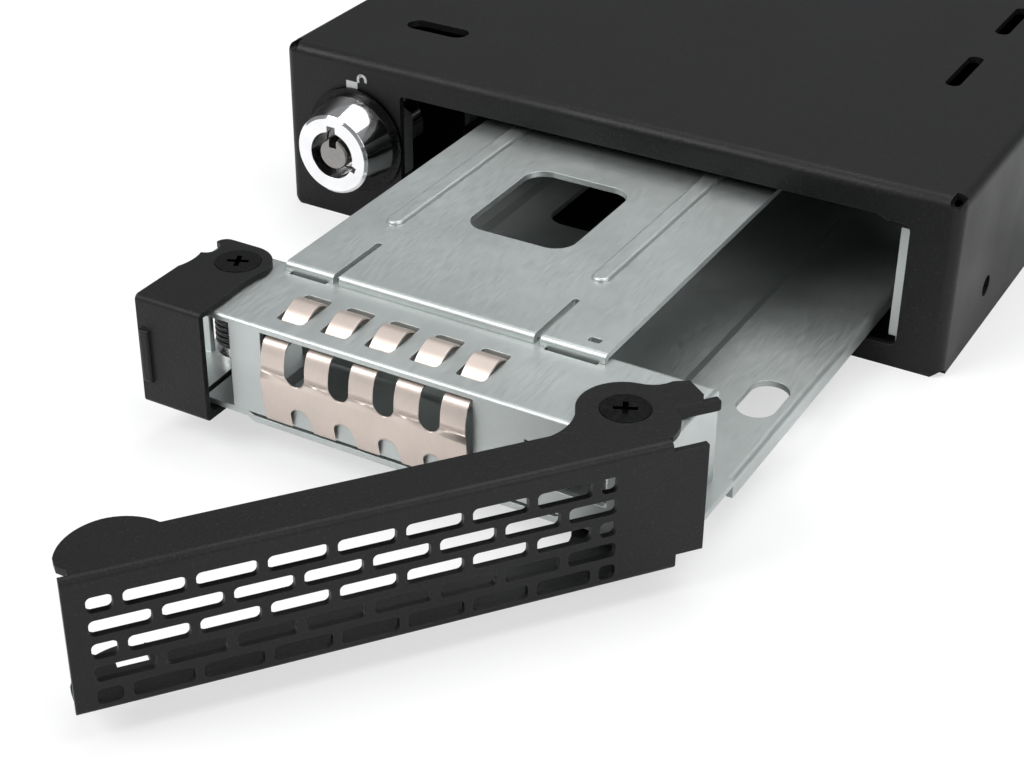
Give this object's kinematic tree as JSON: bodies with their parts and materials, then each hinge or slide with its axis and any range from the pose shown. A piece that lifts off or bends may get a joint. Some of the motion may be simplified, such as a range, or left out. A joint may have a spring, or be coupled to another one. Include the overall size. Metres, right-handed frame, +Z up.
{
  "type": "hot swap drive caddy",
  "caption": "Drive caddy with a swing door and sprung latch, drawn part way out of a keyed, low, box-shaped bay cage.",
  "frame": {"origin": "middle of the cage's bottom face", "axes": "+X to the right seen from the front, +Y into the cage, +Z up"},
  "size_m": [0.1016, 0.2555, 0.0254],
  "materials": {
    "powder_black": "fine textured black powder coat",
    "zinc_sheet": "electro-galvanised sheet, satin",
    "rail_sheet": "electro-galvanised sheet, satin",
    "earthing_strip": "warm-toned stainless spring strip, bright",
    "lock_chrome": "bright chrome",
    "lock_core_steel": "dull nickel",
    "plain_steel": "zinc plated",
    "black_screw": "black oxide, slightly glossy",
    "post_steel": "nickel plated, bright",
    "spring_black": "black spring steel",
    "washer_nylon": "black moulded plastic",
    "runner_plastic": "black moulded plastic",
    "board_green": "green solder mask",
    "connector_black": "black moulded plastic"
  },
  "bodies": {
    "rack": {"cage_cover": "powder_black", "cage_base": "powder_black", "cover_screws": "black_screw", "guide_rail_left": "rail_sheet", "guide_rail_right": "rail_sheet", "runner_left": "runner_plastic", "runner_right": "runner_plastic", "lock_housing": "lock_chrome", "lock_washer": "black_screw", "lock_nut": "plain_steel", "backplane_board": "board_green", "board_screws": "plain_steel", "drive_connector": "connector_black", "data_port": "connector_black", "power_port": "connector_black"},
    "lock": {"lock_core": "lock_core_steel", "lock_cam": "plain_steel", "cam_screw": "plain_steel"},
    "caddy": {"tray_pan": "zinc_sheet", "front_box": "zinc_sheet", "emi_strip": "earthing_strip", "top_plate": "zinc_sheet", "door_post": "post_steel", "latch_post": "post_steel", "door_screws": "black_screw", "latch_screws": "black_screw", "door_washers": "washer_nylon", "latch_spring": "spring_black"},
    "door": {"door": "powder_black"},
    "latch": {"latch": "powder_black"}
  },
  "joints": [
    {"name": "caddy_slide", "type": "slide", "parent": "rack", "child": "caddy", "axis": [0, 1, 0], "range_m": [-0.04, 0.0612]},
    {"name": "door_swing", "type": "hinge", "parent": "caddy", "child": "door", "pos_m": [0.03235, -0.1282, 0.0124], "axis": [0, 0, 1], "range_deg": [-52, 0]},
    {"name": "latch_press", "type": "hinge", "parent": "caddy", "child": "latch", "pos_m": [-0.02405, -0.1211, 0.0124], "axis": [0, 0, 1], "range_deg": [0, 7], "stiffness_Nm_per_rad": 0.05, "springref_deg": -11.46},
    {"name": "lock_turn", "type": "hinge", "parent": "rack", "child": "lock", "pos_m": [-0.0388, -0.073, 0.0129], "axis": [0, 1, 0], "range_deg": [-90, 0]}
  ]
}
